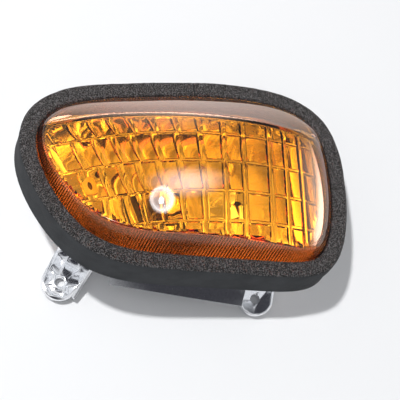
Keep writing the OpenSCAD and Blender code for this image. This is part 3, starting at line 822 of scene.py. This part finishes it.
# ---------------------------------------------------------------- floor
bm = bmesh.new()
bmesh.ops.create_grid(bm, x_segments=2, y_segments=2, size=4.0)
floor_me = bpy.data.meshes.new("floor")
bm.to_mesh(floor_me)
bm.free()
floor = bpy.data.objects.new("floor", floor_me)
scene.collection.objects.link(floor)
fm, fnt, fb = new_mat("floor")
fb.inputs["Base Color"].default_value = (0.86, 0.865, 0.875, 1)
fb.inputs["Roughness"].default_value = 0.55
fb.inputs["Specular IOR Level"].default_value = 0.0
floor_me.materials.append(fm)

# ---------------------------------------------------------------- world
world = bpy.data.worlds.new("studio")
scene.world = world
world.use_nodes = True
wnt = world.node_tree
bg = wnt.nodes["Background"]
wtc = wnt.nodes.new("ShaderNodeTexCoord")


def toward(direction, lo, hi):
    """1 away from a direction, falling to 0 close to it; lo and hi are cosines."""
    n = wnt.nodes.new("ShaderNodeVectorMath")
    n.operation = "DOT_PRODUCT"
    n.inputs[1].default_value = Vector(direction).normalized()
    wnt.links.new(wtc.outputs["Generated"], n.inputs[0])
    m = map_range(wnt, n.outputs["Value"], lo, hi, 1.0, 0.0)
    m.interpolation_type = "SMOOTHSTEP"
    return m.outputs["Result"]


def mul(a, b):
    n = math_node(wnt, "MULTIPLY")
    wnt.links.new(a, n.inputs[0])
    wnt.links.new(b, n.inputs[1])
    return n.outputs["Value"]


sepw = wnt.nodes.new("ShaderNodeSeparateXYZ")
wnt.links.new(wtc.outputs["Generated"], sepw.inputs["Vector"])
TENT = [(0.0, (0.29, 0.3, 0.31)), (0.35, (0.4, 0.41, 0.42)), (1.0, (0.52, 0.52, 0.53))]
tent = ramp(wnt, sepw.outputs["Z"], TENT)
# Mirrored surfaces see a dark opening in front, the dark end of the room and one small dark spot
OPENING = (-0.15, -0.29, 0.95)
room = mul(toward(OPENING, 0.93, 0.99), toward((0.1, -0.94, 0.33), 0.7, 0.95))
room = mul(room, toward((0.206, 0.206, 0.957), 0.988, 0.996))
shaded = rgb_mix(wnt, room, (0.03, 0.03, 0.035, 1), tent.outputs["Color"])
path = wnt.nodes.new("ShaderNodeLightPath")
# Rays through glass count as glossy too, so what is left is mirrored only
mirrored = math_node(wnt, "SUBTRACT")
mirrored.use_clamp = True
wnt.links.new(path.outputs["Is Glossy Ray"], mirrored.inputs[0])
wnt.links.new(path.outputs["Is Transmission Ray"], mirrored.inputs[1])


def near(direction, lo, hi):
    """1 close to a direction, falling to 0 away from it."""
    n = math_node(wnt, "MULTIPLY_ADD")
    n.inputs[1].default_value = -1.0
    n.inputs[2].default_value = 1.0
    wnt.links.new(toward(direction, lo, hi), n.inputs[0])
    return n.outputs["Value"]


def patch(direction, width, height, lo, hi):
    """An oval patch of the tent: 1 inside lo, 0 outside hi, as shares of its width and height."""
    d = Vector(direction).normalized()
    sub = wnt.nodes.new("ShaderNodeVectorMath")
    sub.operation = "SUBTRACT"
    sub.inputs[1].default_value = d
    wnt.links.new(wtc.outputs["Generated"], sub.inputs[0])
    scl = wnt.nodes.new("ShaderNodeVectorMath")
    scl.operation = "MULTIPLY"
    scl.inputs[1].default_value = (1 / width, 1 / height, 1.0)
    wnt.links.new(sub.outputs[0], scl.inputs[0])
    ln = wnt.nodes.new("ShaderNodeVectorMath")
    ln.operation = "LENGTH"
    wnt.links.new(scl.outputs[0], ln.inputs[0])
    m = map_range(wnt, ln.outputs["Value"], lo, hi, 1.0, 0.0)
    m.interpolation_type = "SMOOTHSTEP"
    return m.outputs["Result"]


# What mirror-like surfaces see: direction, width, height, inner and outer limit, colour
FLASH = Vector((0.188, 0.6, 0.778))
MIRROR_PATCHES = [
    # The dark upper part of the room, in the face
    ((0.35, 0.64, 0.68), 0.7, 0.3, 0.75, 1.3, (0.15, 0.15, 0.16, 1)),
    # Soft bright strips, in the face, the slope and the right shoulder
    ((0.305, 0.646, 0.699), 0.2, 0.04, 0.1, 1.2, (5.2, 5.0, 5.6, 1)),
    ((0.15, 0.97, 0.25), 0.9, 0.2, 0.4, 1.1, (5.6, 4.0, 3.1, 1)),
    ((0.93, 0.36, 0.03), 2.0, 1.3, 0.1, 0.3, (6.0, 4.5, 3.7, 1)),
    # The flash head: its bright rim, its inside and its tube
    (FLASH, 0.065, 0.036, 0.82, 1.15, (11, 10.5, 10.5, 1)),
    (FLASH + Vector((-0.008, -0.003, 0.0)), 0.065, 0.036, 0.45, 0.85, (4.2, 3.8, 3.9, 1)),
    (FLASH + Vector((-0.006, -0.006, 0.004)), 0.013, 0.009, 0.6, 1.2, (40, 40, 40, 1)),
]
for direction, width, height, lo, hi, color in MIRROR_PATCHES:
    shaded = rgb_mix(wnt, patch(direction, width, height, lo, hi), shaded, color)

# What the lens's inside sees: a bright horizon and a dark top with a few grey spots
INSIDE_TENT = [(0.0, (3.2, 3.2, 3.22)), (0.4, (2.6, 2.6, 2.61)), (0.66, (0.55, 0.55, 0.56)),
               (0.88, (0.3, 0.3, 0.31)), (1.0, (0.25, 0.25, 0.26))]
# Direction, cosines of the outer and inner limit, grey
INSIDE_SPOTS = [
    ((-0.35, 0.1, 0.93), 0.965, 0.985, 0.6),
    ((0.48, -0.1, 0.87), 0.965, 0.985, 0.68),
    ((0.36, 0.52, 0.77), 0.965, 0.99, 0.66),
    ((0.74, 0.11, 0.66), 0.975, 0.99, 0.3),
    ((0.46, 0.6, 0.66), 0.985, 0.993, 0.36),
]
inside = ramp(wnt, sepw.outputs["Z"], INSIDE_TENT).outputs["Color"]
for direction, lo, hi, grey in INSIDE_SPOTS:
    inside = rgb_mix(wnt, near(direction, lo, hi), inside, (grey, grey, grey, 1))
dark = mul(toward(OPENING, 0.965, 0.99), toward((0.1, -0.97, 0.2), 0.9, 0.98))
inside = rgb_mix(wnt, dark, (0.15, 0.15, 0.15, 1), inside)


def scaled(color, factor):
    n = wnt.nodes.new("ShaderNodeVectorMath")
    n.operation = "SCALE"
    n.inputs["Scale"].default_value = factor
    wnt.links.new(color, n.inputs[0])
    return n.outputs[0]


seen = rgb_mix(wnt, path.outputs["Is Transmission Ray"], tent.outputs["Color"], scaled(inside, 2.0))
seen = rgb_mix(wnt, mirrored.outputs["Value"], seen, scaled(shaded, 1.7))
final = rgb_mix(wnt, path.outputs["Is Camera Ray"], seen, (0.97, 0.97, 0.975, 1))
wnt.links.new(final, bg.inputs["Color"])
bg.inputs["Strength"].default_value = 1.0

# ---------------------------------------------------------------- light and camera
KEY_AT, KEY_AIM = Vector((-0.41, 0.14, 1.42)), Vector((0.0, 0.05, 0.04))
key_data = bpy.data.lights.new("key", "AREA")
key_data.energy = 15.5
key_data.size = 0.06
key = bpy.data.objects.new("key", key_data)
scene.collection.objects.link(key)
key.location = KEY_AT
key.rotation_euler = (KEY_AIM - KEY_AT).to_track_quat("-Z", "Y").to_euler()

cam_data = bpy.data.cameras.new("camera")
cam = bpy.data.objects.new("camera", cam_data)
scene.collection.objects.link(cam)
scene.camera = cam
# The photo's view, from the left and from below
VIEW_LEFT, VIEW_BELOW, ROLL = math.radians(9.0), math.radians(17.0), math.radians(-2.798)
AIM, DISTANCE = Vector((18.33, 51.74, 30.0)) * MM, 0.69314
FOCAL_PX, PHOTO_PX = 1167.0, 400
back = Vector((-math.tan(VIEW_LEFT), -math.tan(VIEW_BELOW), 1.0)).normalized()
hint = Vector((math.sin(ROLL), math.cos(ROLL), 0.0))
right = hint.cross(back).normalized()
up = back.cross(right)
cam.matrix_world = Matrix.Translation(AIM + back * DISTANCE) @ Matrix((right, up, back)).transposed().to_4x4()
cam_data.sensor_width = 36
cam_data.lens = FOCAL_PX / PHOTO_PX * cam_data.sensor_width
cam_data.clip_start = 0.01
cam_data.clip_end = 20

scene.view_settings.view_transform = "Standard"
